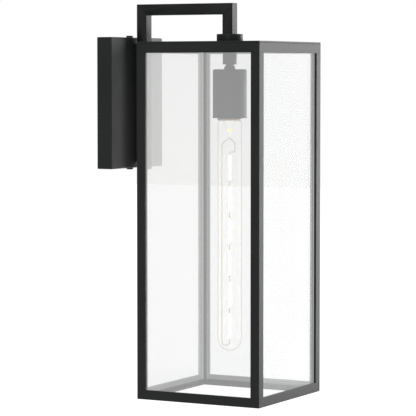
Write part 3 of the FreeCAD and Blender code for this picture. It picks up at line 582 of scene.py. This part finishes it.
# %% [markdown]
# ## Collar, sleeve and cup
# The collar is a plain disc under the arm's drop. The sleeve hides the threaded stem inside
# the cage, a short length of thread shows under it, and a small cone nut locks the cup. The
# cup is thin metal with a rolled top edge and a faint bead at its lip.

# %% Collar, sleeve, nut and cup
stem_bore = 3.6 * MM
stem_radius, stem_low, stem_high = span("threaded_stem")
collar_radius, collar_low, collar_high = span("arm_collar")
turned_piece("arm_collar", [
    (stem_radius, collar_low), (collar_radius, collar_low),
    (collar_radius, collar_high), (stem_radius, collar_high),
], 0.6 * MM, steps=96)

sleeve_radius, sleeve_low, sleeve_high = span("stem_sleeve")
turned_piece("stem_sleeve", [
    (stem_radius, sleeve_low), (sleeve_radius, sleeve_low),
    (sleeve_radius, sleeve_high), (stem_radius, sleeve_high),
], 0.5 * MM)

nut_radius, nut_low, nut_high = span("neck_nut")
turned_piece("neck_nut", [
    (stem_radius, nut_low), (nut_radius, nut_low), (nut_radius, nut_low + 1.2 * MM),
    (nut_radius - 1.0 * MM, nut_high), (stem_radius, nut_high),
], 0.3 * MM)

cup_radius, cup_low, cup_high = span("socket_cup")
cup_wall = 1.2 * MM
lip = 0.25 * MM
turned_piece("socket_cup", [
    (stem_radius, cup_high - cup_wall), (cup_radius - cup_wall, cup_high - cup_wall),
    (cup_radius - cup_wall, cup_low), (cup_radius, cup_low),
    (cup_radius, cup_low + 1.4 * MM), (cup_radius - lip, cup_low + 1.9 * MM),
    (cup_radius - lip, cup_high - 1.6 * MM), (cup_radius - 1.3 * MM, cup_high),
    (stem_radius, cup_high),
], 0.35 * MM, steps=96)


def threaded(outer, inner, low, high, depth, pitch):
    """The outline of a tube whose outside is a row of thread ridges."""
    count = int((high - low) / pitch)
    ridge = (high - low) / count
    outline = [(inner, low)]
    for index in range(count):
        foot = low + index * ridge
        outline.append((outer - depth, foot))
        outline.append((outer, foot + ridge * 0.5))
    outline.append((outer - depth, high))
    outline.append((inner, high))
    return outline


turned_piece("threaded_stem", threaded(stem_radius, stem_bore, stem_low, stem_high, 0.35 * MM, 0.95 * MM),
             0, steps=48, angle=20)

# %% [markdown]
# ## Screw shell and lamp cap
# Both carry the same rolled thread. It is broad and round, unlike a cut thread, so the outline
# is a sine wave. The shell is a thin tube of it. The cap adds a smooth copper-coloured rim.

# %% Screw shell, lamp cap, insulator and tip


def rolled(outer, low, high, depth, pitch, samples=8):
    """Points of a rolled thread, up one side."""
    count = max(1, round((high - low) / pitch))
    total = count * samples
    points = []
    for index in range(total + 1):
        wave = 0.5 - 0.5 * math.cos(2 * math.pi * index / samples)
        points.append((outer - depth * (1 - wave), low + (high - low) * index / total))
    return points


shell_radius, shell_low, shell_high = span("socket_screw_shell")
shell_wall = 0.25 * MM
outside = rolled(shell_radius, shell_low, shell_high, 0.25 * MM, 3.6 * MM)
inside = [(radius - shell_wall, height) for radius, height in reversed(outside)]
turned_piece("socket_screw_shell", outside + inside, 0)

rim_radius, cap_low, cap_high = span("lamp_cap")
thread_radius = shell_radius - 0.8 * MM
rim_top = cap_low + 2.6 * MM
cap_bore = thread_radius - 0.8 * MM
outline = [(cap_bore, cap_low), (rim_radius - 0.5 * MM, cap_low), (rim_radius, cap_low + 0.8 * MM)]
outline += [(rim_radius, rim_top - 0.8 * MM), (rim_radius - 0.6 * MM, rim_top)]
outline += rolled(thread_radius, rim_top + 0.6 * MM, cap_high - 1.2 * MM, 0.4 * MM, 3.6 * MM)
outline += [(thread_radius - 0.4 * MM, cap_high), (cap_bore, cap_high)]
turned_piece("lamp_cap", outline, 0)

seal_radius, seal_low, seal_high = span("lamp_insulator")
tip_radius, tip_low, tip_high = span("lamp_tip_contact")
turned_piece("lamp_insulator", [
    (0.0, seal_low), (seal_radius, seal_low), (seal_radius - 0.6 * MM, seal_low + 1.6 * MM),
    (tip_radius + 1.5 * MM, seal_high), (0.0, seal_high),
], 0.3 * MM)
turned_piece("lamp_tip_contact", [
    (0.0, tip_low), (tip_radius, tip_low), (tip_radius - 0.4 * MM, tip_low + 0.7 * MM),
    (tip_radius - 1.8 * MM, tip_high), (0.0, tip_high),
], 0.2 * MM)

# %% [markdown]
# ## The lamp's glass
# The envelope is a long straight tube with a round tip, blown from thin glass. The mount inside
# it is a flare that is pinched flat round the wires. Both are turned. The mount is a hollow
# flare in life, but here its outline is solid, closed at the axis.

# %% Envelope and mount
glass_radius = (lamp_high.x - lamp_low.x) / 2
neck_radius = cap_bore
shoulder_high, shoulder_low = cap_low, cap_low - 2.5 * MM


def envelope():
    """Points of the outline from the neck down to the tip."""
    radius = glass_radius
    dome = lamp_low.z + glass_radius
    points = [(neck_radius, lamp_high.z), (neck_radius, shoulder_high)]
    for step in range(1, 7):
        ease = 0.5 - 0.5 * math.cos(math.pi * step / 6)
        drop = (shoulder_low - shoulder_high) * step / 6
        points.append((neck_radius + (radius - neck_radius) * ease, shoulder_high + drop))
    points += [(radius, shoulder_low + (dome - shoulder_low) * t / 8) for t in range(1, 8)]
    points += [(radius * math.cos(math.pi * t / 32), dome - radius * math.sin(math.pi * t / 32)) for t in range(17)]
    points[-1] = (0.0, points[-1][1])
    return points


turned_piece("lamp_glass", [(0.0, lamp_high.z), *envelope()], 0, steps=96, angle=60)

flare_radius, mount_low, mount_high = span("lamp_stem")
mount_height = mount_high - mount_low
flare = [(1.0, 1.0), (0.62, 0.9), (0.50, 0.75), (0.43, 0.62), (0.33, 0.5), (0.31, 0.4), (0.34, 0.28),
         (0.30, 0.12), (0.2, 0.0)]
mount = [(flare_radius * across, mount_low + mount_height * up) for across, up in flare]
turned_piece("lamp_stem", [(0.0, mount_high), *mount, (0.0, mount_low)], 0, stem_material, 64, 70)

# %% [markdown]
# ## Wires and lit strips
# Two fine wires leave the mount: a long one that runs to the lamp's far end and a short one to
# the first strip. Six strips hang between them. Each strip is a rod of phosphor with round
# ends, a bare yellow bead at each end and a fine link to the next. The last two hang a little
# out of line, as they do in a real lamp.

# %% Wires, seals and strips
eased("lamp_support_wires")

strip_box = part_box("lamp_filaments")
strip_radius = (strip_box[1].x - strip_box[0].x) / 2
strip_count = 6
strip_length = 30.2 * MM
strip_pitch = (strip_box[1].z - strip_box[0].z - strip_length) / (strip_count - 1)
lean = (0.0, 0.0, 0.0, 0.0, 0.9, -1.1)


def one_strip():
    """A rod with domed ends, lying along the lamp, centred on its axis."""
    bpy.ops.object.select_all(action="DESELECT")
    bpy.ops.mesh.primitive_cylinder_add(vertices=24, radius=strip_radius, depth=strip_length - 2.4 * MM)
    rod = bpy.context.object
    bevel(rod, strip_radius * 0.7, 4)
    apply_all(rod)
    smooth(rod, 50)
    return rod


def strung(make, places, turns):
    """Copies of one shape, each with its own mesh, moved to its place and joined."""
    model = make()
    copies = []
    for place, turn in zip(places, turns):
        item = bpy.data.objects.new("copy", model.data.copy())
        bpy.context.scene.collection.objects.link(item)
        item.location = place
        item.rotation_euler = (0, math.radians(turn), 0)
        copies.append(item)
    bpy.data.objects.remove(model)
    bpy.ops.object.select_all(action="DESELECT")
    for item in copies:
        item.select_set(True)
    bpy.context.view_layer.objects.active = copies[0]
    bpy.ops.object.join()
    joined = bpy.context.object
    bpy.ops.object.transform_apply(location=True, rotation=True, scale=True)
    return joined


middles = [strip_box[1].z - strip_length / 2 - index * strip_pitch for index in range(strip_count)]
strips = strung(one_strip, [(axis_x, axis_y, height) for height in middles], lean)
settle(strips, "lit_strips", ["lamp_filaments"], finishes["filament"])


def end_bead(swell=1.0):
    """The bare end of a strip: a short capsule."""
    bpy.ops.object.select_all(action="DESELECT")
    bpy.ops.mesh.primitive_uv_sphere_add(segments=16, ring_count=10, radius=strip_radius * 0.82 * swell)
    bead = bpy.context.object
    start_edit(bead)
    bpy.ops.transform.resize(value=(1.0, 1.0, 1.25))
    end_edit()
    smooth(bead, 60)
    return bead


reach = strip_length / 2 - 0.9 * MM
bead_places = []
for height, turn in zip(middles, lean):
    for way in (1, -1):
        slide = math.sin(math.radians(turn)) * reach * way
        bead_places.append((axis_x + slide, axis_y, height + way * reach))
beads = strung(end_bead, bead_places, [0] * len(bead_places))
beads.name = "strip_ends"
beads.data.name = "strip_ends"
beads.data.materials.clear()
beads.data.materials.append(amber)
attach(beads, "lamp")


def strip_link():
    """The fine wire between two strips."""
    bpy.ops.object.select_all(action="DESELECT")
    length = strip_pitch - strip_length + 0.6 * MM
    bpy.ops.mesh.primitive_cylinder_add(vertices=12, radius=0.3 * MM, depth=length)
    link = bpy.context.object
    start_edit(link)
    bpy.ops.mesh.subdivide(number_cuts=3)
    end_edit()
    smooth(link, 60)
    return link


links = [(axis_x, axis_y, (upper + lower) / 2) for upper, lower in zip(middles, middles[1:])]
wire_links = strung(strip_link, links, [0] * len(links))
wire_links.name = "strip_links"
wire_links.data.name = "strip_links"
wire_links.data.materials.clear()
wire_links.data.materials.append(finishes["support_wire"])
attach(wire_links, "lamp")

# The two seals are amber beads that wear the glowing amber: the amber is their own colour, the glow a painted
# glint, since a seal is no lamp.
seal_height = mount_low + mount_height * 0.4
spread = Vector((0.476, -0.880, 0)) * 1.6 * MM
seal_places = [(axis_x - spread.x, axis_y - spread.y, seal_height),
               (axis_x + spread.x, axis_y + spread.y, seal_height + 0.6 * MM)]
amber_seals_painted_glint = strung(lambda: end_bead(1.35), seal_places, [12, -12])
amber_seals_painted_glint.name = "wire_seals_painted_glint"
amber_seals_painted_glint.data.name = "wire_seals_painted_glint"
amber_seals_painted_glint.data.materials.clear()
amber_seals_painted_glint.data.materials.append(amber)
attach(amber_seals_painted_glint, "lamp")
print("strips", strip_count, "pitch mm", round(strip_pitch * 1000, 2))

# %% [markdown]
# ## Wiring behind the canopy
# Three leads end in twist-on connectors inside the canopy. A connector is a ribbed cone that
# flares to a skirt. Its ribs are alternate sides of a many-sided cone, pushed in a little.

# %% Leads and connectors
for node in ("hot_lead", "neutral_lead", "ground_lead"):
    eased(node)

nut_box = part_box("wire_nuts")
nut_skirt = (nut_box[1].y - nut_box[0].y) / 2
nut_height = nut_box[1].z - nut_box[0].z
nut_crown = 3.0 * MM
nut_sides = 32


def connector():
    """A twist-on connector with its open skirt up, centred on the origin."""
    bpy.ops.object.select_all(action="DESELECT")
    bpy.ops.mesh.primitive_cone_add(vertices=nut_sides, radius1=nut_crown, radius2=nut_skirt, depth=nut_height)
    nut = bpy.context.object
    start_edit(nut)
    bpy.ops.mesh.select_all(action="DESELECT")
    end_edit()
    walls = [face for face in nut.data.polygons if abs(face.normal.z) < 0.5]
    for index, face in enumerate(walls):
        face.select = index % 2 == 0
    start_edit_selected(nut)
    bpy.ops.mesh.inset(thickness=0.12 * MM, depth=-0.28 * MM)
    end_edit()
    bevel(nut, 0.12 * MM, 2)
    apply_all(nut)
    smooth(nut, 30)
    return nut


def start_edit_selected(piece):
    """Edit mode on a piece whose faces are selected already."""
    bpy.ops.object.select_all(action="DESELECT")
    piece.select_set(True)
    bpy.context.view_layer.objects.active = piece
    bpy.ops.object.mode_set(mode="EDIT")
    bpy.ops.mesh.select_mode(type="FACE")


nut_y = (nut_box[0].y + nut_box[1].y) / 2
nut_z = (nut_box[0].z + nut_box[1].z) / 2
first_nut, last_nut = nut_box[0].x + nut_skirt, nut_box[1].x - nut_skirt
nut_places = [(first_nut + (last_nut - first_nut) * index / 2, nut_y, nut_z) for index in range(3)]
connectors = strung(connector, nut_places, [0, 0, 0])
settle(connectors, "wire_connectors", ["wire_nuts"], finishes["wire_nut_plastic"])

# %% Everything else keeps its CAD shape and gets its finish
for name, node in frame["nodes"].items():
    material = finishes[node_slot[name]]
    node.data.materials.clear()
    node.data.materials.append(material)
print("CAD nodes dressed", len(frame["nodes"]))
